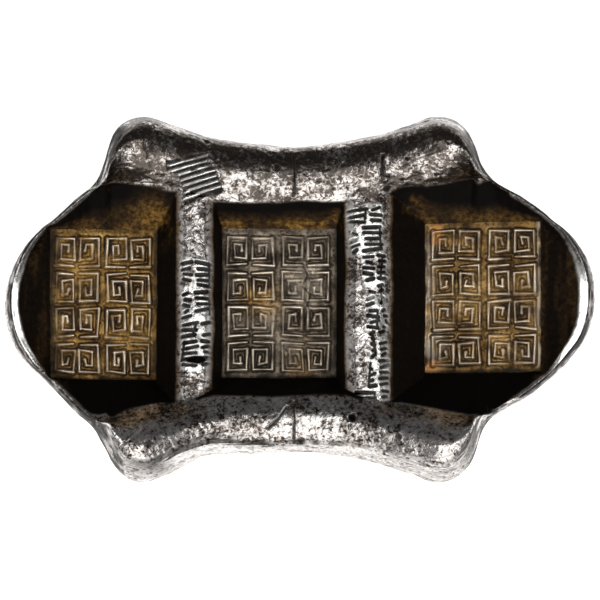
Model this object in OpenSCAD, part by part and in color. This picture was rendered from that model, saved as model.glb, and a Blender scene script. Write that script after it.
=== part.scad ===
// Saddle sycee: a silver ingot, poured as a boat-shaped block and struck with three deep stamps.
// The one casting is divided along its creases, and each region of it is a solid of its own.
// Millimetres, +Z up. The origin lies on the table, under the middle of the ingot's length and width.
// +X runs along the ingot to the right wing, and +Y runs across it to the rear rail.

/* [Outline] */
// Length from wing tip to wing tip
ingot_length = 66; // [62:0.5:72]
// Width across the horns
horn_width = 41.2; // [39:0.2:44]
// Width at the waist, between the horns
waist_width = 34.4; // [32:0.2:36]
// Radius of a horn's corner, seen from above
horn_radius = 4; // [3.4:0.1:4.6]
// Distance between the two horns of a rail
horn_spacing = 33; // [31:0.2:34]
// Distance of the waist's middle to the left of the ingot's middle
horn_shift = 1; // [0:0.1:1.5]
// Radius of the wing tips, seen from above
tip_radius = 10.4; // [9.6:0.1:11.2]
// Distance along the ingot from a horn's middle to the notch where it meets the wing
horn_base = 5.2; // [4.7:0.1:5.7]
// Width of the wings at the notches
notch_width = 28; // [27:0.2:29]
// Distance of the left wing's middle line in front of the ingot's middle line
left_drop = 0.8; // [0:0.1:1.2]

/* [Hull] */
// Length of the flat foot
foot_length = 30; // [24:0.5:36]
// Width of the flat foot
foot_width = 17; // [13:0.5:20]
// Height of the seat, the flat under the bars and the middle panel
seat_height = 5.9; // [5:0.1:6.6]
// Slope of the wings up from the seat, in degrees
wing_slope = 15; // [8:1:17]

/* [Rails and rims] */
// Height of the rails at the waist
rail_height = 12.9; // [12.3:0.1:13.8]
// Height of the horns
horn_height = 15.3; // [14:0.1:16.6]
// Distance from a rail's outer edge to its crest
rail_crest = 3.6; // [3:0.1:4]
// Drop from a rail's crest to its outer edge
rail_drop = 1.9; // [1.4:0.1:2.6]
// Lean of a rail's outer wall at the waist
rail_lean = 0.5; // [0.3:0.1:0.9]
// Lean of a rail's outer wall at the horns
horn_lean = 1.2; // [0.6:0.1:1.5]
// Height of the rims at the notches
notch_height = 12.1; // [11.8:0.1:12.8]
// Height of the rims at the wing tips
tip_height = 14.5; // [13.8:0.1:15.2]
// Thickness of the rims at their top
rim_thickness = 0.5; // [0.4:0.05:0.8]
// Drop from a rim's crest to its edges
rim_drop = 0.3; // [0.2:0.05:0.5]
// Lean of a rim's outer wall at the tip
tip_lean = 0.7; // [0.3:0.1:1]

/* [Struck panels] */
// Distance from the left wing's tip to its panel
left_margin = 5.1; // [4.9:0.1:6]
// Distance from the right wing's tip to its panel
right_margin = 6.1; // [5.7:0.1:7.2]
// Width of the panels
panel_width = 16.8; // [15.6:0.1:17]
// Thickness of the wing panels
panel_thickness = 1.5; // [1:0.1:2]
// Length of the middle panel
middle_length = 13; // [12:0.1:13.6]
// Thickness of the middle panel
middle_thickness = 2.4; // [1.8:0.1:3]
// Distance of the middle panel to the left of the ingot's middle
middle_shift = 2.3; // [1.6:0.1:3]
// Distance of the middle panel in front of the ingot's middle line
middle_drop = 0.6; // [0:0.1:0.9]

/* [Bars and mouths] */
// Height of the bars
bar_height = 11.6; // [11:0.1:12]
// Fall of a bar's crowned top from its middle to its edges
bar_crown = 0.5; // [0.2:0.1:0.8]
// Width of the left bar at its top
left_bar_width = 4.4; // [3.8:0.1:4.8]
// Width of the right bar at its top
right_bar_width = 5.4; // [4.6:0.1:6]
// Height of a bar's upright foot above the panels
bar_step = 0.4; // [0.2:0.1:0.6]
// Length of the middle trough's mouth
middle_mouth_length = 14.4; // [13.8:0.1:15]
// Width of the middle trough's mouth
middle_mouth_width = 21.6; // [20:0.1:22.4]
// Width of the wing troughs' mouths at the bars
wing_mouth_width = 24.2; // [23:0.1:25]
// Width of the wing troughs' mouths at the notches
notch_mouth_width = 26.4; // [25:0.1:26.8]

/* [Hidden] */

// Number of steps along each stretch of the outline, and across the hull, a crown and an inner slope
tip_steps = 9;
flank_steps = 6;
notch_steps = 4;
rise_steps = 3;
horn_steps = 8;
waist_steps = 6;
bar_steps = 4;
hull_steps = 8;
crown_steps = 5;
slope_steps = 5;
// Step on a wing's flank that faces the corner of its panel
corner_step = 1;
// Reach of a rounded notch along the two flanks that meet in it
notch_reach = 1.3;
// Share of rim in the section at the notch's horn side, from where it grows to a whole rim
notch_share = 2 / 3;
// Share of the way to the panel that a rim may take up
rim_share = 0.8;
// Share of the way from a rail's outer edge to its lip that its crest may take up
crest_share = 0.65;

waist_x = -horn_shift;
horn_reach = horn_spacing / 2;
notch_spacing = horn_spacing + 2 * horn_base;
horn_y = horn_width / 2 - horn_radius;
waist_y = waist_width / 2;

// The waist is one hollow arc that touches both horns, and a crease crosses the ingot where they touch
waist_dip = waist_y - horn_y;
hollow_radius =
    (pow(horn_reach, 2) + pow(waist_dip, 2) - pow(horn_radius, 2)) / (2 * (horn_radius - waist_dip));
hollow_y = waist_y + hollow_radius;
horn_end = direction([-horn_reach, hollow_y - horn_y]);
crease_reach = horn_reach + horn_radius * cos(horn_end);
left_crease = waist_x - crease_reach;
right_crease = waist_x + crease_reach;
left_panel_length = ingot_length / 2 - left_margin + left_crease;
right_panel_length = ingot_length / 2 - right_margin - right_crease;

middle_left = -middle_shift - middle_length / 2;
middle_right = -middle_shift + middle_length / 2;
left_bar_inner = -middle_shift - middle_mouth_length / 2;
left_bar_outer = left_bar_inner - left_bar_width;
right_bar_inner = -middle_shift + middle_mouth_length / 2;
right_bar_outer = right_bar_inner + right_bar_width;

function lerp(a, b, t) = a + (b - a) * t;
function ramp(x, from, to) = max(0, min(1, (x - from) / (to - from)));
function backwards(list) = [for (i = [len(list) - 1 : -1 : 0]) list[i]];
function part_of(list, from, to) = [for (i = [from : to]) list[i]];
function direction(v) = atan2(v.y, v.x);
function heading(angle) = [cos(angle), sin(angle)];
function at(centre, radius, angle) = centre + radius * heading(angle);
function raised(p, z) = [p.x, p.y, z];
// Direction from a circle's centre to the point where the tangent from an outer point touches it
function tangent(centre, radius, outer, side) =
    direction(outer - centre) + side * acos(radius / norm(outer - centre));
function bend(a, b, c, t) = lerp(lerp(a, b, t), lerp(b, c, t), t);

// What changes along the ingot: 0 between the bars, 1 on the wings
function on_wing(x) =
    x < waist_x ? ramp(x, left_bar_outer, left_crease) : ramp(x, right_bar_outer, right_crease);
function past_bar(x) =
    x < waist_x ? ramp(x, left_bar_inner, left_bar_outer) : ramp(x, right_bar_inner, right_bar_outer);

// The deck is the top of the hull: the flat seat and the two sloping wings
function deck(x) = seat_height + max(0, left_crease - x, x - right_crease) * tan(wing_slope);
function floor_at(x) = deck(x) + lerp(middle_thickness, panel_thickness, on_wing(x));
function middle_line(x) = lerp(-middle_drop, x < waist_x ? -left_drop : 0, on_wing(x));
function foot_y(x, side) = middle_line(x) + side * panel_width / 2;
function lip_y(x, side) = side * lerp(middle_mouth_width, wing_mouth_width, past_bar(x)) / 2;
function waist_edge(x) = hollow_y - sqrt(pow(hollow_radius, 2) - pow(x - waist_x, 2));

// Heights of the crest that runs round the ingot, on a rail and on a rim
function towards_horn(x) = pow(min(1, abs(x - waist_x) / horn_reach), 2);
function rail_top(x) = lerp(rail_height, horn_height, towards_horn(x));
function rim_top(x) = lerp(notch_height, tip_height, ramp(abs(x), notch_spacing / 2, ingot_length / 2));

// A station is one place on the outline, with what the section across the rail or rim needs there:
// [outline point, direction that the wall faces, share of rim, foot on the deck, distance to the lip]
function rim_lip(edge, facing, foot) =
    (lean(edge, facing, 1) + rim_thickness) / squareness(edge, facing, foot);
function squareness(edge, facing, foot) = max(0.5, (edge - foot) * heading(facing) / norm(edge - foot));
function lean(edge, facing, share) =
    lerp(lerp(rail_lean, horn_lean, towards_horn(edge.x)), tip_lean * pow(cos(facing), 2), share);
function station(edge, facing, share, foot, mouth) =
    let (reach = norm(foot - edge),
         rail = share < 1 ? reach * (edge.y - mouth) / (edge.y - foot.y) : 0,
         lip = lerp(rail, rim_lip(edge, facing, foot), ramp(share, notch_share, 1)))
    [edge, facing, share, foot, min(lip, rim_share * reach)];

// The outline of one wing and horn from the tip to the crease, as if it lay at +X and +Y
function wing_outline(shift, drop) =
    let (tip = [ingot_length / 2 - tip_radius, drop],
         notch = [notch_spacing / 2 + shift, notch_width / 2 + drop],
         horn = [horn_reach + shift, horn_y],
         tip_end = tangent(tip, tip_radius, notch, -1),
         horn_start = tangent(horn, horn_radius, notch, 1),
         flank = at(tip, tip_radius, tip_end),
         rise = at(horn, horn_radius, horn_start),
         low = lerp(notch, flank, notch_reach / norm(flank - notch)),
         high = lerp(notch, rise, notch_reach / norm(rise - notch)))
    [for (i = [0 : tip_steps - 1]) let (a = tip_end * i / tip_steps) [at(tip, tip_radius, a), a, 1],
     for (i = [0 : flank_steps - 1]) [lerp(flank, low, i / flank_steps), tip_end, 1],
     for (i = [0 : notch_steps - 1]) let (t = i / notch_steps)
         [bend(low, notch, high, t), lerp(tip_end, horn_start, t), lerp(1, notch_share, t)],
     for (i = [0 : rise_steps - 1]) let (t = i / rise_steps)
         [lerp(high, rise, t), horn_start, notch_share * (1 - t)],
     for (i = [0 : horn_steps]) let (a = lerp(horn_start, horn_end, i / horn_steps))
         [at(horn, horn_radius, a), a, 0]];

// The stations of one wing and horn: the tip faces the panel's end, and the flank and horn face its side
function wing(sx, sy) =
    let (drop = sx < 0 ? -sy * left_drop : 0,
         points = wing_outline(sx * waist_x, drop),
         corner = points[tip_steps + corner_step][0],
         crease = crease_reach + sx * waist_x,
         notch = notch_spacing / 2 + sx * waist_x,
         length = sx < 0 ? left_panel_length : right_panel_length,
         half = panel_width / 2)
    [for (i = [0 : len(points) - 1])
        let (p = points[i],
             across = (p[0].y - drop) * half / (corner.y - drop),
             along = (p[0].x - crease) * length / (corner.x - crease),
             on_tip = i < tip_steps + corner_step,
             foot = on_tip ? [crease + length, drop + across] : [crease + along, drop + half],
             mouth = lerp(wing_mouth_width / 2, drop + notch_mouth_width / 2, ramp(p[0].x, crease, notch)),
             s = station(p[0], p[1], p[2], foot, mouth))
        [[sx * s[0].x, sy * s[0].y], direction([sx * cos(s[1]), sy * sin(s[1])]), s[2],
         [sx * s[3].x, sy * s[3].y], s[4]]];

// The stations along the waist from the right crease to the left one, with one at each edge of the bars
waist_places = [for (i = [0 : bar_steps]) lerp(right_bar_outer, right_bar_inner, i / bar_steps),
                for (i = [0 : waist_steps]) lerp(middle_right, middle_left, i / waist_steps),
                for (i = [0 : bar_steps]) lerp(left_bar_inner, left_bar_outer, i / bar_steps)];
function waist(side) =
    [for (x = waist_places)
        [[x, side * waist_edge(x)], direction([waist_x - x, side * (hollow_y - waist_edge(x))]), 0,
         [x, foot_y(x, side)], abs(side * waist_edge(x) - lip_y(x, side))]];

rear_right = wing(1, 1);
rear_left = backwards(wing(-1, 1));
front_left = wing(-1, -1);
front_right = backwards(wing(1, -1));
wing_last = len(rear_right) - 1;
// The middle of the notch, where a rail ends and a rim begins
split = tip_steps + flank_steps + notch_steps / 2;
rear_stations = concat(part_of(rear_right, split, wing_last), waist(1),
                       part_of(rear_left, 0, wing_last - split));
front_stations = concat(part_of(front_left, split, wing_last), backwards(waist(-1)),
                        part_of(front_right, 0, wing_last - split));
left_stations = concat(part_of(rear_left, wing_last - split, wing_last), part_of(front_left, 1, split));
right_stations = concat(part_of(front_right, wing_last - split, wing_last), part_of(rear_right, 1, split));

// The section across a rail or rim at a station, from the foot of its inner wall over the crest to the outline
function section(s) =
    let (edge = s[0], share = s[2], foot = s[3], lip = s[4],
         square = squareness(edge, s[1], foot),
         inward = (foot - edge) / norm(foot - edge),
         lean_in = lean(edge, s[1], share) / square,
         crest_in = min(lerp(rail_crest, (lean_in + lip) / 2, share), lerp(lean_in, lip, crest_share)),
         crest = lerp(rail_top(edge.x), rim_top(edge.x), share),
         lip_top = lerp(bar_height, crest - rim_drop, share),
         edge_top = crest - lerp(rail_drop, rim_drop, share))
    [raised(foot, deck(foot.x)),
     raised(foot, floor_at(foot.x)),
     for (i = [0 : slope_steps - 1]) let (t = i / slope_steps)
         raised(edge + inward * lerp(lip, crest_in, t), lerp(lip_top, crest, sin(90 * t))),
     for (i = [0 : crown_steps]) let (a = 90 * i / crown_steps)
         raised(edge + inward * lerp(crest_in, lean_in, sin(a)), lerp(edge_top, crest, cos(a))),
     raised(edge, deck(edge.x))];

// A solid through rings of as many points each, closed at both ends by the flat faces given in end.
// With turned, each side face is split along its other diagonal, as a neighbour's face is that it lies against.
module loft(rings, end, turned = false) {
    n = len(rings[0]);
    last = (len(rings) - 1) * n;
    sides = [for (k = [0 : n : last - n], i = [0 : n - 1])
        let (a = k + i, b = k + (i + 1) % n)
        each turned ? [[a, a + n, b], [b, a + n, b + n]] : [[a, a + n, b + n], [a, b + n, b]]];
    polyhedron(
        points = [for (ring = rings) each ring],
        faces = concat(end, sides, [for (face = end) [for (i = backwards(face)) last + i]]));
}
function whole(ring) = [[for (i = [0 : len(ring) - 1]) i]];

// The hull swells from the flat foot to the ingot's widest line, where the deck closes it in three planes
hull_stations = concat(rear_right, waist(1), rear_left, part_of(front_left, 1, wing_last), backwards(waist(-1)),
                       part_of(front_right, 0, wing_last - 1));
function hull_ring(t) =
    [for (s = hull_stations)
        let (foot = [s[0].x * foot_length / ingot_length, s[0].y * foot_width / horn_width])
        raised(lerp(foot, s[0], sin(90 * t)), deck(s[0].x) * (1 - cos(90 * t)))];

module saddle_hull() {
    count = len(hull_stations);
    // Flat strips across the ingot, from each stretch of the rear outline to the same stretch of the front one
    strips = [[0, 1, count - 1],
              for (i = [1 : count / 2 - 2]) [i, i + 1, count - i - 1, count - i],
              [count / 2 - 1, count / 2, count / 2 + 1]];
    color("gray") loft([for (k = [0 : hull_steps]) hull_ring(k / hull_steps)], strips);
}

module rail(stations) { loft([for (s = stations) section(s)], whole(section(stations[0]))); }

module rear_rail() { color("silver") rail(rear_stations); }
module front_rail() { color("silver") rail(front_stations); }
module left_rim() { color("lightgray") rail(left_stations); }
module right_rim() { color("lightgray") rail(right_stations); }

// A bar stands on the seat between the inner walls of the rails, and its sides slope down to the panels
function wall_y(x, z, side) = lerp(foot_y(x, side), lip_y(x, side), ramp(z, floor_at(x), bar_height));
function bar_section(x, top) =
    [raised([x, wall_y(x, top, 1)], top),
     raised([x, wall_y(x, top, -1)], top),
     raised([x, foot_y(x, -1)], floor_at(x)),
     raised([x, foot_y(x, -1)], seat_height),
     raised([x, foot_y(x, 1)], seat_height),
     raised([x, foot_y(x, 1)], floor_at(x))];
module bar(foot_left, top_left, top_right, foot_right) {
    left_end = bar_section(foot_left, floor_at(foot_left) + bar_step);
    right_end = bar_section(foot_right, floor_at(foot_right) + bar_step);
    loft([left_end,
          for (i = [0 : bar_steps]) let (t = i / bar_steps)
              bar_section(lerp(top_left, top_right, t), bar_height - bar_crown * pow(abs(2 * t - 1), 3)),
          right_end], whole(left_end), turned = true);
}

module left_bar() { color("silver") bar(left_crease, left_bar_outer, left_bar_inner, middle_left); }
module right_bar() { color("silver") bar(middle_right, right_bar_inner, right_bar_outer, right_crease); }

// A panel lies on the deck and fills the floor of its trough
module panel(from, to, thickness) {
    outline = [[from, deck(from)],
               [to, deck(to)],
               [to, deck(to) + thickness],
               [from, deck(from) + thickness]];
    translate([0, middle_line(to), 0]) rotate([90, 0, 0]) linear_extrude(height = panel_width, center = true)
        polygon(outline);
}

module left_panel() {
    color("darkgoldenrod") panel(left_crease, left_crease - left_panel_length, panel_thickness);
}
module middle_panel() {
    color("darkgoldenrod") panel(middle_left, middle_right, middle_thickness);
}
module right_panel() {
    color("darkgoldenrod") panel(right_crease, right_crease + right_panel_length, panel_thickness);
}

saddle_hull();
rear_rail();
front_rail();
left_rim();
right_rim();
left_bar();
right_bar();
left_panel();
middle_panel();
right_panel();
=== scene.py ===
import math

import bpy
import numpy as np
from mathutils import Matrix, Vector
from mathutils.bvhtree import BVHTree


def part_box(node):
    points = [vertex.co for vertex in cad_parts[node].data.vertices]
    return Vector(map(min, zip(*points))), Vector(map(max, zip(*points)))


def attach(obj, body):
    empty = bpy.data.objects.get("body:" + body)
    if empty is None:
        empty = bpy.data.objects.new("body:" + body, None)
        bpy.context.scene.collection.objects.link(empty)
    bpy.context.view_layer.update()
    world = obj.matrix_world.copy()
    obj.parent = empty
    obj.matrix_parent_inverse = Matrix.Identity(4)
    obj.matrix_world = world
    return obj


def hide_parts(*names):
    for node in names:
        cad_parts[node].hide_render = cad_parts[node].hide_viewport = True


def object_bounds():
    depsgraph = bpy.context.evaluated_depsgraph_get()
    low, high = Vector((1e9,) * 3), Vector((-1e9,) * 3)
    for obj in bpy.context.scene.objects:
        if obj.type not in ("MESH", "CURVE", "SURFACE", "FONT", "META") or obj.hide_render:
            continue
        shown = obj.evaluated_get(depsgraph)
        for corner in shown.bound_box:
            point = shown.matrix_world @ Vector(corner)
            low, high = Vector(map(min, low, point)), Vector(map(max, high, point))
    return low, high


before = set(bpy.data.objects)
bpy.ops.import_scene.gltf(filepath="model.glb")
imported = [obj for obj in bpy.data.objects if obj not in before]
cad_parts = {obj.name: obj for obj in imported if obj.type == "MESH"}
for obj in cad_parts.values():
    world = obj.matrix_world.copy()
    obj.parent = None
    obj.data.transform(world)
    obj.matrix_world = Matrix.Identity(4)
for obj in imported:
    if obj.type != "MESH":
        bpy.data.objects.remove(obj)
cad_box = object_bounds()

# The casting: silver poured into an open mould and struck while hot, so that it has no seam anywhere.
# Its skin is drawn once over all the solids, in millimetres, and each section below cuts its piece from it.
MM = 1000
SKIN_GRID = 0.12
SOFTENING_PASSES = 7
NODES = sorted(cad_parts)


def listed(items, key, width, kind=float):
    """What the items of a mesh keep under key, in rows of width numbers."""
    values = np.empty(len(items) * width, kind)
    items.foreach_get(key, values)
    return values.reshape(-1, width)


solid_points, solid_triangles, solid_owner = [], [], []
for index, name in enumerate(NODES):
    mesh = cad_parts[name].data
    mesh.calc_loop_triangles()
    corners = listed(mesh.loop_triangles, "vertices", 3, np.int32)
    solid_triangles.append(corners + sum(map(len, solid_points)))
    solid_points.append(listed(mesh.vertices, "co", 3) * MM)
    solid_owner += [index] * len(corners)
solid_points = np.concatenate(solid_points)
solid_triangles = np.concatenate(solid_triangles)

block = bpy.data.objects.new("block", bpy.data.meshes.new("block"))
block.data.from_pydata(solid_points.tolist(), [], solid_triangles.tolist())
bpy.context.scene.collection.objects.link(block)
remesh = block.modifiers.new("skin", "REMESH")
remesh.mode = "VOXEL"
remesh.voxel_size = SKIN_GRID
skin = block.evaluated_get(bpy.context.evaluated_depsgraph_get()).to_mesh()
spots = listed(skin.vertices, "co", 3)
quads = listed(skin.loops, "vertex_index", 1, np.int32).reshape(-1, 4)
edges = listed(skin.edges, "vertices", 2, np.int32)
bpy.data.objects.remove(block)


def spread(values, times):
    """Evens values out over the skin, along its edges."""
    degree = np.bincount(edges.ravel(), minlength=len(values))
    for _ in range(times):
        near = np.bincount(edges[:, 0], values[edges[:, 1]], len(values))
        near += np.bincount(edges[:, 1], values[edges[:, 0]], len(values))
        values = (values + near / degree) / 2
    return values


def unit(arrows):
    """The same directions, each of length 1."""
    return arrows / np.maximum(np.linalg.norm(arrows, axis=1, keepdims=True), 1e-12)


def facing(points, faces):
    """The direction in which the surface faces at each of its points."""
    one, two, three, four = (points[faces[:, k]] for k in range(4))
    upright = np.cross(three - one, four - two)
    total = np.zeros_like(points)
    for axis in range(3):
        for k in range(4):
            total[:, axis] += np.bincount(faces[:, k], upright[:, axis], len(points))
    return unit(total)


def smooth(value, low, high):
    """Goes smoothly from 0 at low to 1 at high."""
    share = np.clip((value - low) / (high - low), 0, 1)
    return share * share * (3 - 2 * share)


def scatter(cells, seed):
    """A number from 0 to 1 for each whole-numbered cell of space, always the same one."""
    with np.errstate(over="ignore"):
        mix = cells[..., 0].astype(np.uint32) * np.uint32(374761393)
        mix = mix + cells[..., 1].astype(np.uint32) * np.uint32(668265263)
        mix = mix + cells[..., 2].astype(np.uint32) * np.uint32(2246822519) + np.uint32(seed * 97)
        mix = (mix ^ (mix >> np.uint32(13))) * np.uint32(1274126177)
        mix = (mix ^ (mix >> np.uint32(16))) * np.uint32(2654435761)
    return (mix ^ (mix >> np.uint32(15))) / 4294967295.0


def waves(points, size, seed):
    """Uneven waves from -1 to 1, about as long as size."""
    cells = points / size
    low = np.floor(cells).astype(np.int64)
    part = smooth(cells - low, 0, 1)
    total = 0
    for k in range(8):
        step = np.array([k & 1, k >> 1 & 1, k >> 2 & 1])
        share = np.prod(np.where(step == 1, part, 1 - part), axis=1)
        total = total + share * scatter(low + step, seed)
    return 2 * total - 1


def blot(x, y, at_x, at_y, wide, long):
    """A soft patch in plan: 1 at its middle, fading over its half width and half length."""
    return np.exp(-(((x - at_x) / wide) ** 2) - ((y - at_y) / long) ** 2)


# Hand work left no line straight, the front waist deeper on its left and the front right flank fuller.
# x, y and z are the columns of spots, so that what is added to them moves the skin.
WAIST_DENT = 0.8
FLANK_BULGE = 0.4
FLANK = (26, -11, 3.5, 2.5)
SWAY = 0.16
spots = np.stack([spread(spots[:, axis], SOFTENING_PASSES) for axis in range(3)], 1)
x, y, z = spots.T
y += WAIST_DENT * np.exp(-(((x + 10.4) / 3.2) ** 2)) * smooth(y, -13, -16.5)
bulge = FLANK_BULGE * blot(x, y, *FLANK)
x += 0.6 * bulge
y -= 0.8 * bulge
loose = smooth(np.abs(x), 32.5, 30) * smooth(z, 3, 7)
drawn_up = spots * [1, 1, 0.25]
sway_x, sway_y = (waves(drawn_up, 3.2, seed) + 0.4 * waves(drawn_up, 1.3, seed + 2) for seed in (60, 61))
x += SWAY * sway_x * loose
y += SWAY * sway_y * loose
out = facing(spots, quads)

# The node that each face and each point of the skin belongs to
solids = BVHTree.FromPolygons(solid_points.tolist(), solid_triangles.tolist())
centres = spots[quads].mean(1)
owner = np.array([solid_owner[solids.find_nearest(centre)[2]] for centre in centres.tolist()])
region = np.zeros(len(spots), int)
for k in range(4):
    region[quads[:, k]] = owner

# Where the skin faces the inside of a trough, and how far it lies below the trough's lip.
# Along x, the two bars have their middle lines, and the rims begin on both wings.
LEFT_BAR, RIGHT_BAR = -11.7, 7.6
WING = 21.8
half_length = cad_box[1][0] * MM
bar_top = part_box("left_bar")[1][2] * MM
left_box = np.array(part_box("left_panel")) * MM
middle_box = np.array(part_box("middle_panel")) * MM
right_box = np.array(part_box("right_panel")) * MM
middle_x = middle_box[:, 0].mean()


def by_trough(x, left, middle, right):
    """One of three values for each place along the ingot, for the trough that it lies in or beside."""
    return np.where(x < LEFT_BAR, left, np.where(x > RIGHT_BAR, right, middle))


endward, sideward, upward = np.abs(x), np.abs(y), out[:, 2]
off_middle = np.abs(x - middle_x)
trough_x = by_trough(x, left_box[:, 0].mean(), middle_x, right_box[:, 0].mean())
turned_in = spread(-(out[:, 0] * (x - trough_x) / 12 + out[:, 1] * y / 10), 12)
inward = smooth(turned_in, -0.05, 0.15)
# The lip rises along the wings, and at the middle trough's front, the outer troughs' rear and the notches
lip = bar_top + 0.5 * smooth(endward, 19, 22)
lip += 2.4 * np.clip((endward - WING) / (half_length - WING), 0, 1)
lip += 0.6 * smooth(y, -10.0, -10.6) * smooth(off_middle, 10, 9)
lip += 0.5 * smooth(y, 11, 12.5) * smooth(off_middle, 12, 14)
lip += 0.7 * blot(endward, sideward, 22.0, 11.8, 1.2, 1.0)
below = lip - z
wall = inward * smooth(upward, 0.985, 0.93)
deep = smooth(below, 1.7, 2.6) * (upward > 0.3) * smooth(turned_in, -0.2, -0.05)
trough = np.maximum(smooth(below, 0.05, 0.5) * wall, deep) * (upward > -0.2)
# Painted shade past the slanting front lips of the two outer troughs: the black of their front walls, with
# tarnish, on the rail's inner slope
left_lip = -11.3 - 0.24 * (-13.8 - x)
right_lip = -11.9 - 0.173 * (x - 10.7)
lip_shade = smooth(y - np.where(x > 0, right_lip, left_lip), -0.2, 0.3) * (y < -9)
lip_shade *= smooth(np.abs(x + 2.0), 11.8, 12.6) * smooth(endward, 22.5, 21)
trough = np.maximum(trough, lip_shade * smooth(upward, 0.1, 0.3))
handled = 1 - trough

# The skin's own unevenness: hammer dents and pour marks, with small gas pits where the metal froze last.
# Dents and marks are given by their height, their length and the seed of their waves.
DENTS = ((0.08, 4.2, 1), (0.035, 1.6, 2))
POUR_MARKS = ((0.014, 0.7, 3), (0.008, 0.35, 4))
PIT_DEPTH = 0.1
under = smooth(-upward, 0.1, 0.5)
lift = sum(height * waves(spots, length, seed) for height, length, seed in DENTS) * (0.35 + 0.65 * handled)
marks = sum(height * waves(spots, length, seed) for height, length, seed in POUR_MARKS)
lift += marks * (0.25 + 0.75 * handled)


def dimples(points, size, share, seed):
    """Round hollows, 1 deep at their middle, in a share of the cells of space that are as long as size."""
    low = np.floor(points / size).astype(np.int64)
    depth = np.zeros(len(points))
    for k in range(27):
        cell = low + np.array([k % 3, k // 3 % 3, k // 9]) - 1
        place = np.stack([scatter(cell, seed + j) for j in range(3)], 1)
        radius = size * (0.10 + 0.26 * scatter(cell, seed + 3) ** 2)
        away = np.linalg.norm(points - (cell + place) * size, axis=1) / radius
        depth = np.maximum(depth, np.where(scatter(cell, seed + 4) < share, 1 - away**2, 0))
    return depth


open_metal = (handled > 0.2) & (upward > -0.3)
coarse, fine = dimples(spots[open_metal], 1.9, 0.3, 20), dimples(spots[open_metal], 0.9, 0.5, 10)
pit = np.zeros(len(spots))
pit[open_metal] = np.maximum(fine, coarse)
pit *= handled * smooth(waves(spots, 5, 5), -0.7, 0.3)
lift -= PIT_DEPTH * pit

# The outer walls: the metal drew in as it froze, which left fine lines running round the ingot
RIPPLE_HEIGHT = 0.035
RIPPLE_PITCH = 0.75
INSIDE_BOX = 0.002
outer = (1 - inward) * smooth(upward, 0.85, 0.45) * smooth(z, 2.0, 5.0)
level = z + 0.9 * waves(spots * [0.5, 0.5, 0.3], 4, 6) + 0.25 * waves(spots, 1.4, 7)
ripple = outer * np.sin(level * 2 * math.pi / RIPPLE_PITCH)
ripple *= 0.4 + 0.6 * smooth(waves(spots, 6, 8), -0.3, 0.3)
lift += RIPPLE_HEIGHT * ripple
spots = spots + out * (lift * (1 - 0.6 * under))[:, None]
low, high = np.array(cad_box) * MM
spots = np.clip(spots, low + INSIDE_BOX, high - INSIDE_BOX)
out = facing(spots, quads)

# Tarnish and painted shade darken the troughs' walls, with ochre low on the rear ones and at three corners
FLOOR_SLOPE = math.tan(math.radians(15))
OCHRE_CORNERS = ((-16.2, 8.8, 2.4, 0.8), (12.6, 10.6, 1.6, 0.7), (4.3, 9.0, 1.2, 0.8))
x, y, z = spots.T
endward, sideward, upward = np.abs(x), np.abs(y), out[:, 2]
off_middle = np.abs(x - middle_x)
front_wall = smooth(out[:, 1], 0.05, 0.35)
rear_wall = smooth(-out[:, 1], 0.1, 0.4)
side_wall = smooth(np.abs(out[:, 0]), 0.4, 0.65) * smooth(off_middle, 17.5, 16)
tip = smooth(endward, 25.5, 27.5) * smooth(np.abs(out[:, 0]), 0.25, 0.45)
streak = waves(spots * [1, 0.12, 0.12], 0.5, 44) + 0.5 * waves(spots * [1, 0.2, 0.2], 1.6, 45)
rear_soot = by_trough(x, 0.3, 0.45, 0.62) + 0.7 * smooth(below, 2.6, 0.6) + 0.25 * smooth(x, -18, -22)
# Painted shade blackens the walls that face the rear and the bars' sides; the tips get streaky soot, the
# rear walls soot that darkens to the lip
soot_and_shade = np.maximum.reduce([
    front_wall * (1 - tip),
    0.95 * lip_shade,
    0.96 * side_wall * (1 - tip),
    tip * (0.92 - 0.35 * smooth(streak, -0.5, 0.7)),
    rear_wall * rear_soot,
])
left_floor = left_box[1, 2] - FLOOR_SLOPE * (x - left_box[0, 0])
right_floor = right_box[1, 2] - FLOOR_SLOPE * (right_box[1, 0] - x)
floor_level = by_trough(x, left_floor, middle_box[1, 2], right_floor)
gold = np.where(off_middle < 10, 0.75, 0.35) * rear_wall * smooth(z - floor_level, 1.5, 0.2)
for at_x, at_y, size, amount in OCHRE_CORNERS:
    gold += amount * blot(x, y, at_x, at_y, size, size)
gold *= trough * smooth(waves(spots, 1.8, 40) + 0.6 * waves(spots, 0.5, 46), -0.8, 0.5)

# Grime clouds the silver, most of all on the rear horns; painted shade darkens the rear rail's far half,
# the front's steep slopes and the hollows.
# Both follow the curve of the rails' sides, which flare out from the waist to the horns.
RAIL_MIDDLE, WAIST, FLARE, HORN = -0.5, 17.3, 3.2, 17.5
SMEAR = (-16.6, -19.0, 2.2, 0.8)
cloud = waves(spots, 2.4, 41) + 0.6 * waves(spots, 0.9, 42)
from_side = WAIST + FLARE * ((x - RAIL_MIDDLE) / HORN) ** 2 - sideward
# Painted shade on the rear rail's far half, its horns and its right end, and low on its inner slope by the
# middle trough
rear_shade = smooth(from_side, 5.2, 2.6) + 0.75 * smooth(np.abs(x - RAIL_MIDDLE), 13.5, 18)
rear_shade += 0.45 * smooth(x, 12, 16)
rear_shade += 0.8 * inward * smooth(off_middle, 11, 14) * smooth(z, 13.8, 12.4)
# Darker along the front rail's outer edge, most at the horns
front_edge_dark = 0.4 * smooth(from_side, 2.2, 1.5) * smooth(endward, 11, 15)
front_edge_dark += 0.4 * smooth(from_side, 1.7, 1.1)
rail_darkening = np.where(y > 0, rear_shade * (0.8 + 0.5 * cloud), front_edge_dark) * smooth(sideward, 9, 12)
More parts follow.
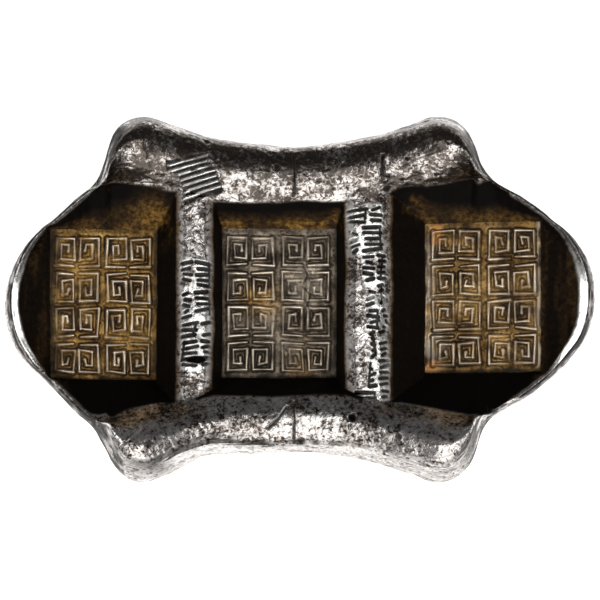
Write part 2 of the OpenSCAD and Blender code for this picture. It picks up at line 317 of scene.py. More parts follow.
# Painted highlight: less grime on the front rail's inner slope and on the front horns' tops
front_highlight = 0.1 * smooth(y, -14.6, -13.0) * smooth(y, -8, -11)
front_highlight += 0.55 * smooth(y, -13.5, -15) * smooth(endward, 11, 14)
horn_side = outer * smooth(sideward, 8, 11) * smooth(endward, 17, 20) * smooth(z, 4, 8)
horn_side *= smooth(np.abs(out[:, 0]), 0.4, 0.7)
# Painted shade on the steep slopes at the front
shaded_shoulder = (1 - inward) * smooth(upward, 0.88, 0.72) * smooth(upward, 0.3, 0.5) * smooth(y, -10, -13)
smear = outer * blot(x, y, *SMEAR)
evened = np.stack([spread(spots[:, axis], 14) for axis in range(3)], 1)
convex = spread(((spots - evened) * out).sum(1), 1)
dirt_and_shade = np.where(y > 0, 0.32 + 0.55 * cloud, 0.2 + 0.45 * cloud) + rail_darkening - front_highlight
# Painted shade in the hollows; less grime on the outer walls, away from the horns' end walls
dirt_and_shade += 2.5 * smooth(-convex, 0.02, 0.12) - 0.7 * outer * (1 - horn_side)
at_waist = 1 - 0.75 * smooth(np.abs(x + 2), 12.2, 14)
wear = smooth(convex, 0.015, 0.06) * smooth(below, 1.0, 0.4) * at_waist
wear *= np.clip(0.8 + 0.4 * cloud, 0, 1)
# What each point of the skin carries, from none to all of it
coat = {
    "tarnish": trough,
    "soiled": np.maximum.reduce([
        0.85 * smooth(pit, 0.1, 0.6),
        trough * np.clip(soot_and_shade - 0.9 * gold, 0, 1),
        0.4 * smooth(-ripple, 0.35, 0.9),
        0.85 * horn_side * smooth(cloud, -1.0, 0.2),
        0.8 * shaded_shoulder * smooth(cloud, -0.8, 0.3),
        0.7 * smear,
    ]),
    "grime": np.clip(dirt_and_shade, 0, 1) * handled * (1 - 0.9 * under),
    "rubbed": wear,
    "gilt": np.clip(gold, 0, 1),
}

# The hull: the boat-shaped underside, cast against the mould, with a flat foot that it stands on.
# Silver, pale on its walls; it carries all the rest, with which it is one.


def add(tree, kind, inputs=(), **settings):
    """A shader node with its settings, and its inputs given as values or as other nodes' outputs."""
    made = tree.nodes.new(kind)
    for key, value in settings.items():
        setattr(made, key, value)
    for socket, value in inputs:
        if isinstance(value, bpy.types.NodeSocket):
            tree.links.new(value, made.inputs[socket])
        else:
            made.inputs[socket].default_value = value
    return made


def noise(tree, place, size, detail, roughness, distortion=0):
    """Uneven cloud from 0 to 1, with patches of about size millimetres."""
    made = add(tree, "ShaderNodeTexNoise", [
        ("Vector", place),
        ("Scale", MM / size),
        ("Detail", detail),
        ("Roughness", roughness),
        ("Distortion", distortion),
    ])
    return made.outputs[0]


def bands(tree, share, *colours):
    """Colours or greys that follow each other as share grows, each given with its place."""
    made = add(tree, "ShaderNodeValToRGB", [("Fac", share)])
    stops = made.color_ramp.elements
    while len(stops) < len(colours):
        stops.new(0.5)
    for stop, (place, colour) in zip(stops, colours):
        stop.position = place
        stop.color = (*colour, 1) if isinstance(colour, tuple) else (colour, colour, colour, 1)
    return made.outputs[0]


MIX_SHARE, MIX_FIRST, MIX_SECOND, MIX_RESULT = 0, 6, 7, 2


def mixed(tree, share, first, second):
    """The first colour turning into the second by share, through the colour sockets of a mix node."""
    inputs = [(MIX_SHARE, share), (MIX_FIRST, first), (MIX_SECOND, second)]
    return add(tree, "ShaderNodeMix", inputs, data_type="RGBA").outputs[MIX_RESULT]


def sums(tree, operation, first, second, third=0.0):
    """The result of one sum, such as a product to which a third number is added."""
    inputs = [(0, first), (1, second), (2, third)]
    return add(tree, "ShaderNodeMath", inputs, operation=operation).outputs[0]


def field(tree, name):
    """What a piece's mesh carries under name at each point, such as how soiled it is."""
    return add(tree, "ShaderNodeAttribute", attribute_name=name).outputs["Fac"]


def new_metal(name):
    """A material with its node tree, and the place on the ingot that its patterns follow."""
    made = bpy.data.materials.new(name)
    made.use_nodes = True
    return made, made.node_tree, add(made.node_tree, "ShaderNodeTexCoord").outputs["Object"]


def surface_finish(tree, colour, metallic, roughness, bump, gloss):
    """Puts a finish on the surface of a material; its gloss is the same all over."""
    surface = tree.nodes["Principled BSDF"]
    tree.links.new(colour, surface.inputs["Base Color"])
    tree.links.new(metallic, surface.inputs["Metallic"])
    tree.links.new(roughness, surface.inputs["Roughness"])
    tree.links.new(bump.outputs[0], surface.inputs["Normal"])
    surface.inputs["Specular IOR Level"].default_value = gloss


# Grime, and the painted shade on the rails
GRIME_AND_SHADE = (0.15, 0.128, 0.112, 1)
# Polish, and the painted highlights on the rims' crests
POLISH_AND_HIGHLIGHT = (0.96, 0.95, 0.92, 1)
# Near black, for soot, pits and cuts, and for painted shade
SOOT_AND_SHADE = (0.0035, 0.0025, 0.002, 1)
silver, tree, place = new_metal("handled_silver")
mottle = noise(tree, place, 1.5, 6, 0.6, 0.4)
grain = noise(tree, place, 0.55, 5, 0.65)
dust = noise(tree, place, 0.42, 5, 0.6, 0.8)
dent = noise(tree, place, 0.85, 3, 0.5, 0.6)
grime = field(tree, "grime")
tarnish = field(tree, "tarnish")
soiled = field(tree, "soiled")
tone = sums(tree, "MULTIPLY_ADD", dust, 0.65, sums(tree, "MULTIPLY", mottle, 0.35))
tone = sums(tree, "MULTIPLY_ADD", grime, 0.12, tone)
colour = bands(
    tree, tone,
    (0.40, (0.80, 0.765, 0.73)),
    (0.52, (0.53, 0.495, 0.465)),
    (0.575, (0.16, 0.135, 0.118)),
    (0.62, (0.02, 0.015, 0.012)),
)
brown = bands(
    tree, grain,
    (0.35, (0.020, 0.010, 0.004)),
    (0.5, (0.055, 0.030, 0.012)),
    (0.68, (0.11, 0.065, 0.024)),
)
ochre = bands(
    tree, grain,
    (0.38, (0.06, 0.028, 0.006)),
    (0.5, (0.19, 0.098, 0.02)),
    (0.62, (0.38, 0.21, 0.045)),
)
colour = mixed(tree, sums(tree, "MULTIPLY", grime, 0.5), colour, GRIME_AND_SHADE)
colour = mixed(tree, field(tree, "rubbed"), colour, POLISH_AND_HIGHLIGHT)
colour = mixed(tree, tarnish, colour, brown)
colour = mixed(tree, field(tree, "gilt"), colour, ochre)
colour = mixed(tree, soiled, colour, SOOT_AND_SHADE)
film = sums(tree, "MAXIMUM", tarnish, soiled)
bare_metal = sums(tree, "SUBTRACT", 1.0, film)
rough = sums(tree, "MULTIPLY_ADD", film, 0.35, sums(tree, "MULTIPLY_ADD", mottle, 0.25, 0.15))
relief = sums(tree, "MULTIPLY_ADD", dust, -0.15, dent)
bump = add(tree, "ShaderNodeBump", [("Strength", 0.35), ("Distance", 0.0003), ("Height", relief)])
surface_finish(tree, colour, bare_metal, rough, bump, 0.05)


def borders(points, faces):
    """The closed lines of points along which the quads end."""
    sides = np.concatenate([faces[:, [k, (k + 1) % 4]] for k in range(4)]).astype(np.int64)
    forward = sides[:, 0] * len(points) + sides[:, 1]
    backward = sides[:, 1] * len(points) + sides[:, 0]
    after = {}
    for start, end in sides[~np.isin(forward, backward)].tolist():
        after.setdefault(start, []).append(end)
    loops = []
    while after:
        loop = [next(iter(after))]
        while len(loop) == 1 or loop[-1] != loop[0]:
            here = after[loop[-1]]
            step = here.pop()
            if not here:
                del after[loop[-1]]
            loop.append(step)
        loops.append(loop[:-1])
    return loops


def bridge(along, loop):
    """Triangles between the two sides of a closed line, which meet where along is least or most."""
    first = int(along[loop].argmin())
    loop = loop[first:] + loop[:first]
    last = int(along[loop].argmax())
    one, other = loop[:last + 1], [loop[0]] + loop[:last - 1:-1]
    triangles = []
    i, j = 0, 0
    while i < len(one) - 1 or j < len(other) - 1:
        if j == len(other) - 1 or (i < len(one) - 1 and along[one[i + 1]] <= along[other[j + 1]]):
            triangle = (one[i + 1], one[i], other[j])
            i += 1
        else:
            triangle = (one[i], other[j], other[j + 1])
            j += 1
        if len(set(triangle)) == 3:
            triangles.append(triangle)
    return triangles


def piece(name, points, faces, normals, fields, axis, sink, material):
    """One piece of the ingot: its quads, closed underneath by a strip that runs along axis.
    The strip lies sink millimetres below the quads' border."""
    closing = []
    for loop in borders(points, faces):
        if sink:
            lower = list(range(len(points), len(points) + len(loop)))
            points = np.vstack([points, points[loop] - [0, 0, sink]])
            normals = np.vstack([normals, np.tile([0, 0, -1], (len(loop), 1))])
            for here in range(len(loop)):
                ahead = (here + 1) % len(loop)
                closing.append((loop[ahead], loop[here], lower[here]))
                closing.append((loop[ahead], lower[here], lower[ahead]))
            loop = lower
        closing += bridge(points[:, axis], loop)
    mesh = bpy.data.meshes.new(name)
    mesh.vertices.add(len(points))
    mesh.vertices.foreach_set("co", (points / MM).astype(np.float32).ravel())
    corners = np.concatenate([faces.ravel(), np.array(closing, np.int64).ravel()]).astype(np.int32)
    starts = np.concatenate([np.arange(len(faces)) * 4, len(faces) * 4 + np.arange(len(closing)) * 3])
    mesh.loops.add(len(corners))
    mesh.loops.foreach_set("vertex_index", corners)
    mesh.polygons.add(len(starts))
    mesh.polygons.foreach_set("loop_start", starts.astype(np.int32))
    mesh.update(calc_edges=True)
    mesh.validate()
    mesh.shade_smooth()
    mesh.normals_split_custom_set_from_vertices(normals.tolist())
    for key, value in fields.items():
        layer = mesh.attributes.new(key, "FLOAT", "POINT")
        everywhere = np.append(value, np.zeros(len(points) - len(value)))
        layer.data.foreach_set("value", everywhere.astype(np.float32))
    made = bpy.data.objects.new("silver_" + name, mesh)
    bpy.context.scene.collection.objects.link(made)
    mesh.materials.append(material)
    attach(made, "root")
    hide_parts(name)


def part_of(name):
    """The points of the skin that a node's piece takes up, and its quads between them."""
    used, faces = np.unique(quads[owner == NODES.index(name)], return_inverse=True)
    return used, faces.reshape(-1, 4)


def cut(name, axis):
    """Cuts a node's piece from the skin, in handled silver."""
    used, faces = part_of(name)
    fields = {key: value[used] for key, value in coat.items()}
    piece(name, spots[used], faces, out[used], fields, axis, 0, silver)


cut("saddle_hull", 0)

# The rails: the two thick rounded sides of silver, drawn up into a horn at each end and rubbed bright.
# A scribed line crosses both; the front one has a scratch and a round punch mark, the rear one a gouge.
# Each mark below is given by its course in plan, its half width and its depth.
SCRIBED_LINES = (
    ([(-0.67, 11.2), (-0.6, 13.4), (-0.75, 15.7)], 0.15, 0.10),
    ([(-0.7, -11.8), (-0.6, -14.0), (-0.7, -15.9)], 0.15, 0.12),
)
SCRATCH = ([(-1.5, -12.4), (-2.3, -13.6), (-3.5, -14.9)], 0.18, 0.12)
GOUGE = ([(9.35, 13.2), (9.15, 14.4), (9.2, 15.5)], 0.24, 0.22)
HAIRLINES = (
    ([(-12.4, -16.3), (-10.2, -15.5), (-8.0, -15.2)], 0.12, 0.05),
    ([(1.0, 13.0), (3.4, 12.3), (6.0, 12.6)], 0.10, 0.04),
    ([(11.2, 14.2), (13.0, 15.1), (15.6, 16.0)], 0.12, 0.04),
    ([(-20.0, -17.0), (-18.6, -16.2), (-17.8, -15.0)], 0.12, 0.05),
)
DOT_X, DOT_Y, DOT_RADIUS, DOT_DEPTH = 5.8, -13.6, 0.55, 0.3
DARK_DEPTH = 0.08


def away_from(px, py, start, end):
    """Distance in plan to the straight line from start to end, and how far along it that is measured."""
    run_x, run_y = end[0] - start[0], end[1] - start[1]
    share = ((px - start[0]) * run_x + (py - start[1]) * run_y) / (run_x * run_x + run_y * run_y)
    share = np.clip(share, 0, 1)
    return np.hypot(px - start[0] - share * run_x, py - start[1] - share * run_y), share


def away_from_path(px, py, path):
    """Distance in plan to a line that bends at each point of its path."""
    return np.minimum.reduce([away_from(px, py, start, end)[0] for start, end in zip(path, path[1:])])


above = smooth(upward, 0.2, 0.5) * handled
cuts = np.zeros(len(spots))
# The front left horn was filed in slanting streaks
filed = waves(np.stack([(x + 0.6 * y) * 1.6, (y - 0.6 * x) * 0.3, z * 0.3], 1), 0.6, 9)
lift = 0.04 * filed * smooth(x, -7, -11) * smooth(x, -23, -20) * smooth(y, -13.5, -15) * handled
for path, width, depth in (*SCRIBED_LINES, SCRATCH, GOUGE, *HAIRLINES):
    away = away_from_path(x, y, path)
    line = np.clip(1 - (away / width) ** 2, 0, 1) * above
    lift -= depth * line
    lift += 0.35 * depth * np.exp(-(((away - 1.6 * width) / (0.6 * width)) ** 2)) * above
    cuts = np.maximum(cuts, line * min(1, depth / DARK_DEPTH))
dot = np.clip(1 - ((x - DOT_X) ** 2 + (y - DOT_Y) ** 2) / DOT_RADIUS**2, 0, 1) * above
lift -= DOT_DEPTH * np.sqrt(dot)
cuts = np.maximum(cuts, smooth(dot, 0, 0.5))

# A square punch left plain slanting ribs in the rear rail, where the left bar meets it
PUNCH_AT = (-11.8, 13.0)
PUNCH_TURN = 12
PUNCH_DEPTH = 0.24
RIBS = 7
TOP_RIB, RIB_PITCH, RIB_HALF_WIDTH = 2.1, 0.62, 0.19


def laid_along(px, py, at, degrees):
    """Places measured across and along from at, on axes turned by so many degrees."""
    cosine, sine = math.cos(math.radians(degrees)), math.sin(math.radians(degrees))
    return (px - at[0]) * cosine + (py - at[1]) * sine, (py - at[1]) * cosine - (px - at[0]) * sine


across, along = laid_along(x, y, PUNCH_AT, PUNCH_TURN)
frayed = 0.25 * waves(spots, 1.2, 30) + 0.15 * waves(spots, 0.5, 31)
upper_half = np.minimum(2.6 - np.abs(across + 0.1), 0.95 - np.abs(along - 1.65))
lower_half = np.minimum(2.3 - np.abs(across - 0.6), 1.75 - np.abs(along + 0.6))
inside = smooth(np.maximum(upper_half, lower_half) + frayed, 0, 0.3) * above
rib = np.zeros(len(spots))
for k in range(RIBS):
    height = TOP_RIB - RIB_PITCH * k
    away = away_from(across, along, (-2.4 + 0.06 * k, height - 0.2), (2.3 + 0.1 * k, height + 0.2))[0]
    rib = np.maximum(rib, np.clip(1.2 - (away / RIB_HALF_WIDTH) ** 2, 0, 1))
rib *= inside
lift -= PUNCH_DEPTH * (inside - rib)
cuts = np.maximum(cuts, 0.72 * inside * (1 - rib))
cuts = np.maximum(cuts, 0.85 * smooth(rib, 0.02, 0.2) * smooth(rib, 0.8, 0.3))
coat["grime"] = np.clip(coat["grime"] + 0.9 * inside * (1 - rib), 0, 1)
coat["rubbed"] = np.maximum(coat["rubbed"], 0.6 * rib)
coat["soiled"] = np.maximum(coat["soiled"], cuts)
spots = spots + out * lift[:, None]
out = facing(spots, quads)
# The rear rail's inner slope is shaded as if it were worn flatter
slope = (region == NODES.index("rear_rail")) * smooth(out[:, 2], 0.6, 0.75) * smooth(-out[:, 1], 0.0, 0.1)
out[:, 1] *= 1 - 0.45 * slope
out = unit(out)
cut("rear_rail", 0)
cut("front_rail", 0)

# The rims: the thin silver walls round the two wings, raised as the stamps drove the metal outwards.
# Grey and mottled outside, with a worn line along the inner edge of the crest that is painted bright as a
# highlight.
CREST_FACING = (0, -0.24, 0.97)


def leaned(arrows, share, towards):
    """Directions bent by a share towards another one."""
    return unit(arrows + share[:, None] * (np.array(towards) - arrows))


rims = np.isin(region, [NODES.index("left_rim"), NODES.index("right_rim")])
upper = rims * smooth(below, 3.4, 1.6)
outside = upper * smooth(-turned_in, -0.02, 0.15)
crest = rims * (1 - outside) * smooth(below, 0.5, 0.25) * smooth(out[:, 2], 0.2, 0.5)
bright = np.exp(-(((y + 2.5) / 5.5) ** 4)) * smooth(endward, 27, 29.5)
rim_grime = np.clip(0.65 + 0.5 * cloud + 0.4 * smooth(endward, 26, 30), 0, 1) * handled
coat["grime"] += upper * (rim_grime - coat["grime"])
stain = smooth(waves(spots, 0.8, 43) + 0.5 * cloud + 0.5 * smooth(y, 2, 7), -0.7, 0.3)
coat["soiled"] = np.maximum(coat["soiled"], 0.85 * outside * stain)
# Painted highlight on the worn line along the crest's inner edge, brightest at the middle of each tip
polish_and_highlight = crest * np.clip(0.2 + 0.9 * bright + 0.25 * cloud, 0, 1)
coat["rubbed"] = np.where(rims, polish_and_highlight, coat["rubbed"])
for key in ("tarnish", "soiled"):
    coat[key] = coat[key] * (1 - polish_and_highlight)
# The crest's shading directions are bent up and towards the front lamps, so that the painted highlight
# shines
out = leaned(out, 0.85 * polish_and_highlight, CREST_FACING)
cut("left_rim", 1)
cut("right_rim", 1)

# The bars: the silver left standing between the three stamps, with bright edges.
# Each carries a row of narrow punch cuts, a plain hatching, which ends in a deep dark nick.
CUT_DEPTH = 0.3
CUT_PITCH = (0.58, 0.7)
CUT_HALF_WIDTH = (0.2, 0.27)
UPRIGHT_HALF_WIDTH = (0.13, 0.19)
NICK_DEPTH = 0.45
NICK_HALF_HEIGHT = 0.5
TOP_FACING = (0, -0.1, 1.0)
rng = np.random.default_rng(5)


def finer(points, faces, fields):
    """The same quads, each divided in four."""
    sides = np.sort(np.concatenate([faces[:, [k, (k + 1) % 4]] for k in range(4)]), axis=1)
    sides, where = np.unique(sides, axis=0, return_inverse=True)
    where = where.reshape(4, -1) + len(points)
    hub = np.arange(len(faces)) + len(points) + len(sides)
    quarters = [np.stack([faces[:, k], where[k], hub, where[k - 1]], 1) for k in range(4)]
    grown = []
    for values in (points, *fields):
        grown.append(np.concatenate([values, values[sides].mean(1), values[faces].mean(1)]))
    return grown[0], np.concatenate(quarters), grown[1:]


def hatching(across, along, wide, long, bare):
    """Groups of short level cuts down a bar, each with one upright cut: how deep they are at each place,
    and the ground that they take up. Halfway down, a bare share of the width stays free on the left."""
    hatch, ground = np.zeros(len(across)), np.zeros(len(across))
    height = long / 2 - 0.3
    while height > 0.4 - long / 2:
        count = int(rng.integers(3, 6))
        left = -wide / 2 * rng.uniform(0.75, 1.0)
        if abs(height + 0.05 * long) < 0.3 * long:
            left += bare * wide * rng.uniform(0.75, 1.0)
        right = wide / 2 * rng.uniform(0.75, 1.0)
        stem = left + (right - left) * rng.uniform(0.3, 0.7)
        tilt = rng.uniform(-0.04, 0.16)
        first = height
        for _ in range(count):
            for start, end in ((left, stem - 0.2), (stem + 0.2, right)):
                if end - start > 0.3 and rng.uniform() < 0.9:
                    start += rng.uniform(0, 0.4)
                    end -= rng.uniform(0, 0.4)
                    drop = rng.uniform(-0.12, 0.12)
                    from_place = (start, height + drop + tilt * start)
                    to_place = (end, height - drop + tilt * end)
                    away = away_from(across, along, from_place, to_place)[0]
                    level_cut = 1.2 - (away / rng.uniform(*CUT_HALF_WIDTH)) ** 2
                    hatch = np.maximum(hatch, np.clip(level_cut, 0, 1))
            height -= rng.uniform(*CUT_PITCH)
        upright = rng.choice([left + 0.3, stem - 0.35, right - 0.3])
        foot = (upright + rng.uniform(-0.4, 0.4), height + rng.uniform(0.5, 1.2))
        away = away_from(across, along, (upright, first), foot)[0]
        upright_cut = 1.1 - (away / rng.uniform(*UPRIGHT_HALF_WIDTH)) ** 2
        hatch = np.maximum(hatch, np.clip(upright_cut, 0, 1))
        in_from_sides = np.minimum(across - left, right - across)
        in_from_ends = np.minimum(first + 0.4 - along, along - height - 0.2)
        ground = np.maximum(ground, smooth(np.minimum(in_from_sides, in_from_ends), -0.35, 0.1))
        height -= rng.uniform(0.0, 0.2)
    return hatch, ground


for name, centre, wide, long, turn, bare, nick_x, nick_y, nick_half_width in (
    ("left_bar", (-11.5, -1.6), 3.9, 11.2, 0, 0.0, -11.4, -7.1, 1.4),
    ("right_bar", (7.7, -0.9), 4.4, 21.8, 2.5, 0.45, 7.3, -11.8, 1.6),
):
    used, faces = part_of(name)
    carried = [out[used]] + [value[used] for value in coat.values()]
    points, faces, grown = finer(spots[used], faces, carried)
    normals, fields = grown[0], dict(zip(coat, grown[1:]))
    px, py = points[:, 0], points[:, 1]
    top = smooth(normals[:, 2], 0.55, 0.85) * (1 - fields["tarnish"])
    hatch, ground = hatching(*laid_along(px, py, centre, turn), wide, long, bare)
    hatch *= top * np.clip(0.9 + 0.6 * waves(points, 1.6, 32), 0, 1)
    nick = 1 - ((px - nick_x) / nick_half_width) ** 2 - ((py - nick_y) / NICK_HALF_HEIGHT) ** 2
    nick = np.clip(nick + 0.25 * waves(points, 0.8, 33), 0, 1) * top
    points = points - normals * (CUT_DEPTH * hatch + NICK_DEPTH * np.sqrt(nick))[:, None]
    dark = np.maximum(0.93 * smooth(hatch, 0.1, 0.6), smooth(nick, 0, 0.4))
    fields["soiled"] = np.maximum(fields["soiled"], dark)
    beside = smooth(hatch, 0.0, 0.02) * smooth(hatch, 0.5, 0.05)
    burr = 0.6 * beside + 0.8 * ground * smooth(waves(points, 0.7, 34), -0.6, 0.5)
    fields["rubbed"] = np.clip(fields["rubbed"] + burr * top, 0, 1)
    normals = np.where((hatch + nick > 0)[:, None], facing(points, faces), normals)
    flat = fields["rubbed"] * (1 - smooth(hatch, 0.0, 0.3)) * smooth(normals[:, 2], 0.4, 0.7)
    normals = leaned(normals, 0.35 * flat, TOP_FACING)
    piece(name, points, faces, normals, fields, 1, 0, silver)

# The struck panels: the silver floors of the three troughs, pressed by one stamp whose strokes stand up.
# They carry a plain key fret, brown and golden with tarnish; the middle one is greyer and bruised.
COLUMNS, ROWS = 4, 4
MARGIN = 0.5
MIDDLE_GAP = 0.4
STROKE = 0.16
KEY_START = (0.06, 0.10)
KEY_SHARE = (0.76, 0.78)
WOBBLE = 0.13
STROKE_HEIGHT = 0.22
GROOVE_DEPTH = 0.14
CRACK_DEPTH = 0.18
PANEL_THICKNESS = 1.2
CRACK = ((0.2, 4.0), (0.9, 2.6), (0.3, 1.4), (1.2, 0.4), (0.8, -0.8), (1.7, -1.9))
BRUISE = (0.6, 1.1, 2.3, 3.0)
RUST_SPOTS = ((15.4, 7.7, 0.9), (14.8, -8.0, 1.3), (15.4, 6.6, 0.7))
SCUFFS = ((14.4, 1.5, 0.6, 4.0), (15.0, -5.0, 1.3, 2.0))
EDGE_SCUFF_INSET, EDGE_SCUFF_WIDTH = 0.2, 0.25
KEY = np.array([(0, 0), (3, 0), (3, 4), (0, 4), (0, 1), (2, 1), (2, 3), (1, 3), (1, 2.1)]) / (3, 4)
DARK_GRAIN = (0.028, 0.017, 0.008, 1)
RUST = (0.85, 0.40, 0.12, 1)
WARM_SILVER = (0.97, 0.84, 0.66, 1)
# Near black, for grease in the hollows and the crack, and for painted shade along the panels' edges
GREASE_AND_SHADE = (0.006, 0.004, 0.0025, 1)
tarnished, tree, place = new_metal("tarnished_silver")
mottle = noise(tree, place, 2.2, 5, 0.62, 0.5)
grain = noise(tree, place, 0.4, 4, 0.65, 0.4)
golden = bands(
    tree, mottle,
    (0.37, (0.09, 0.044, 0.012)),
    (0.5, (0.31, 0.17, 0.044)),
    (0.63, (0.64, 0.38, 0.11)),
)
ashen = bands(
    tree, mottle,
    (0.37, (0.055, 0.042, 0.03)),
    (0.5, (0.17, 0.133, 0.096)),
    (0.63, (0.36, 0.29, 0.215)),
)
rubbed = field(tree, "rubbed")
soiled = field(tree, "soiled")
colour = mixed(tree, field(tree, "ash"), golden, ashen)
colour = mixed(tree, bands(tree, grain, (0.5, 0.0), (0.66, 0.85)), colour, DARK_GRAIN)
colour = mixed(tree, field(tree, "rust"), colour, RUST)
colour = mixed(tree, rubbed, colour, WARM_SILVER)
colour = mixed(tree, soiled, colour, GREASE_AND_SHADE)
shine = sums(tree, "MULTIPLY_ADD", rubbed, 0.4, 0.6)
bare_metal = sums(tree, "MULTIPLY", shine, sums(tree, "SUBTRACT", 1.0, soiled))
rough = sums(tree, "MULTIPLY_ADD", grain, 0.3, 0.26)
bump = add(tree, "ShaderNodeBump", [("Strength", 0.5), ("Distance", 0.00012), ("Height", grain)])
surface_finish(tree, colour, bare_metal, rough, bump, 0.2)
rng = np.random.default_rng(11)


def key_fret(px, py, low, high, half_turn):
    """Distance from the strokes of a key fret that fills a panel, in half widths of the stroke."""
    wide = (high[0] - low[0] - 2 * MARGIN - MIDDLE_GAP) / COLUMNS
    tall = (high[1] - low[1] - 2 * MARGIN) / ROWS
    away = np.full(len(px), np.inf)
    for column in range(COLUMNS):
        for row in range(ROWS):
            across = KEY[:, 0] if column % 2 else 1 - KEY[:, 0]
            along = KEY[:, 1] if row % 2 else 1 - KEY[:, 1]
            line_x = low[0] + MARGIN + wide * (column + KEY_START[0] + KEY_SHARE[0] * across)
            line_x = line_x + MIDDLE_GAP * (column >= COLUMNS / 2)
            line_y = low[1] + MARGIN + tall * (row + KEY_START[1] + KEY_SHARE[1] * along)
            line = np.stack([line_x, line_y], 1) + rng.uniform(-WOBBLE, WOBBLE, (len(KEY), 2))
            if half_turn:
                line = low[:2] + high[:2] - line
            for start, end in zip(line[:-1], line[1:]):
                gap, share = away_from(px, py, start, end)
                weight = rng.uniform(0.75, 1.15)
                away = np.minimum(away, gap / (STROKE * weight * (0.8 + 0.5 * share)))
    return away


for name, (low, high), ash, left_fade, right_fade in (
    ("left_panel", left_box, 0.0, (1.5, 0.1), (1.0, 0.0)),
    ("middle_panel", middle_box, 1.0, (0.5, 0.0), (0.7, 0.0)),
    ("right_panel", right_box, 0.15, (0.3, 0.0), (0.4, 0.0)),
):
    used, faces = part_of(name)
    points, faces, (normals,) = finer(spots[used], faces, [out[used]])
    px, py = points[:, 0], points[:, 1]
    inset = np.minimum.reduce([px - low[0], high[0] - px, py - low[1], high[1] - py])
    away = key_fret(px, py, low, high, name == "right_panel")
    bruise = np.zeros(len(points))
    crack = np.zeros(len(points))
    if name == "middle_panel":
        bruise = smooth(blot(px, py, *BRUISE) + 0.25 * waves(points, 1.2, 55), 0.3, 0.7)
        gap = away_from_path(px, py, CRACK) + 0.06 * waves(points, 0.5, 56)
        crack = 0.5 * np.clip(1.1 - (gap / 0.13) ** 2, 0, 1)
    kept = smooth(inset, 0.1, 0.5) * np.clip(0.75 + 0.6 * waves(points, 2.2, 50), 0.12, 1)
    kept *= 1 - 0.6 * bruise
    ridge = np.clip(1 - away**2, 0, 1)
    groove = np.exp(-(((away - 1.55) / 0.5) ** 2))
    rise = (STROKE_HEIGHT * ridge - GROOVE_DEPTH * groove) * kept
    rise += 0.03 * waves(points, 1.3, 51) + 0.012 * waves(points, 0.3, 52)
    rise += bruise * (0.16 * waves(points, 0.7, 57) - 0.04) - CRACK_DEPTH * crack
    points = points + normals * (rise * smooth(inset, 0.0, 0.3))[:, None]
    normals = np.where((inset < 0.05)[:, None], normals, facing(points, faces))
    worn = np.clip(0.55 + 0.6 * waves(points, 1.1, 54), 0, 1)
    uneven = 0.35 * waves(points, 1.0, 48)
    # Painted shade along the panel's edges, darkest at the front where the front wall's shadow falls
    dim = np.maximum.reduce([
        0.92 * smooth(py - low[1] + uneven, 0.7, 0.0),
        0.5 * smooth(high[1] - py + uneven, 0.6, 0.0),
        0.9 * smooth(px - low[0] + uneven, *left_fade),
        0.9 * smooth(high[0] - px + uneven, *right_fade),
    ])
    crests = 1.5 * smooth(ridge, 0.25, 0.75) * kept * worn + 0.2 * bruise * worn
    hollows = 1.25 * groove * kept * (1 - 0.2 * worn) + crack
    fields = {
        "ash": np.clip(ash * smooth(waves(points, 5, 53), 0.8, 0.1) + 0.6 * bruise, 0, 1),
        "rubbed": np.clip(crests, 0, 1) * (1 - dim),
        "soiled": np.maximum(dim, np.clip(hollows, 0, 1)),
        "rust": np.zeros(len(points)),
    }
    if name == "right_panel":
        for at_x, at_y, size in RUST_SPOTS:
            stain = blot(px, py, at_x, at_y, size, size) + 0.3 * waves(points, 0.6, 58)
            fields["rust"] = np.maximum(fields["rust"], 0.8 * smooth(stain, 0.3, 0.9))
        scuff = sum(blot(px, py, *patch) for patch in SCUFFS)
        scuff += 0.7 * np.exp(-(((high[0] - EDGE_SCUFF_INSET - px) / EDGE_SCUFF_WIDTH) ** 2))
        scuff = 0.8 * np.clip(scuff, 0, 1) * smooth(waves(points, 0.9, 59), -0.9, 0.4)
        fields["rubbed"] = np.maximum(fields["rubbed"], scuff)
    piece(name, points, faces, normals, fields, 0, PANEL_THICKNESS, tarnished)

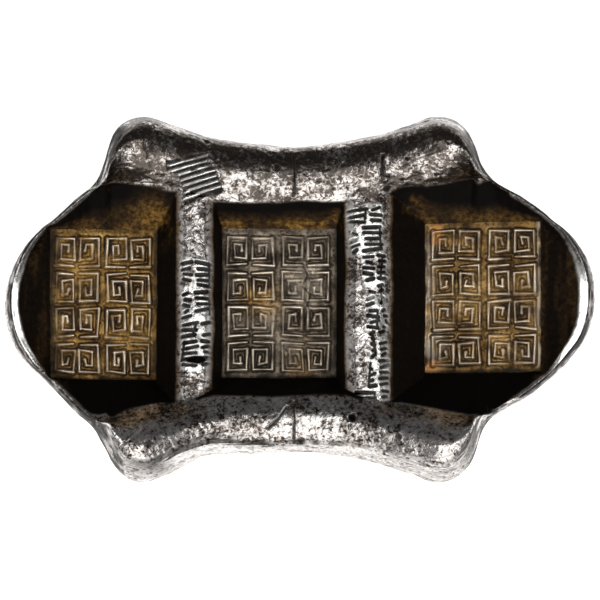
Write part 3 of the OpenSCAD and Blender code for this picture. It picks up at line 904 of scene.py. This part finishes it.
# The table: a plain white sheet of paper that the ingot lies on, wide enough to fill the picture.
# It is lit through from below, so that it shows no shadow.
bpy.ops.mesh.primitive_plane_add(size=3, location=(0, 0, 0))
floor = bpy.context.object
floor.name = "floor"
paper = bpy.data.materials.new("paper")
paper.use_nodes = True
sheet = paper.node_tree.nodes["Principled BSDF"]
sheet.inputs["Base Color"].default_value = (0.9, 0.9, 0.9, 1)
sheet.inputs["Roughness"].default_value = 0.9
sheet.inputs["Emission Color"].default_value = (1, 1, 1, 1)
sheet.inputs["Emission Strength"].default_value = 0.85
floor.data.materials.append(paper)

# The light: wide soft boxes in front of the ingot and above it, with weaker ones at its two ends.
# They stand in a dim room; each is given by its place and size in metres and its power in watts.
world = bpy.data.worlds.new("room")
bpy.context.scene.world = world
world.use_nodes = True
world.node_tree.nodes["Background"].inputs["Color"].default_value = (0.10, 0.10, 0.103, 1)
for name, at, size, power in (
    ("front", (0, -0.53, 0.28), (0.6, 0.22), 1.2),
    ("top", (0, -0.34, 0.58), (0.5, 0.3), 1.3),
    ("over", (0, -0.06, 0.9), (0.35, 0.25), 1.05),
    ("left", (-0.5, 0, 0.35), (0.25, 0.25), 0.45),
    ("right", (0.5, 0, 0.35), (0.25, 0.25), 0.45),
):
    lamp = bpy.data.lights.new(name, "AREA")
    lamp.shape = "RECTANGLE"
    lamp.size, lamp.size_y = size
    lamp.energy = power
    box = bpy.data.objects.new(name, lamp)
    box.location = at
    box.rotation_euler = (-Vector(at)).to_track_quat("-Z", "Y").to_euler()
    bpy.context.scene.collection.objects.link(box)
bpy.context.scene.view_settings.view_transform = "Standard"

# The camera: almost straight above the ingot and a little towards its front, with a long lens.
# It looks at the middle of the ingot.
LENS = 500
DISTANCE = 0.933
ELEVATION = math.radians(86)
camera = bpy.data.objects.new("camera", bpy.data.cameras.new("camera"))
camera.data.lens = LENS
target = Vector((0, -0.0002, 0.008))
back = Vector((0, -math.cos(ELEVATION), math.sin(ELEVATION)))
camera.location = target + back * DISTANCE
camera.rotation_euler = (-back).to_track_quat("-Z", "Y").to_euler()
bpy.context.scene.collection.objects.link(camera)
bpy.context.scene.camera = camera
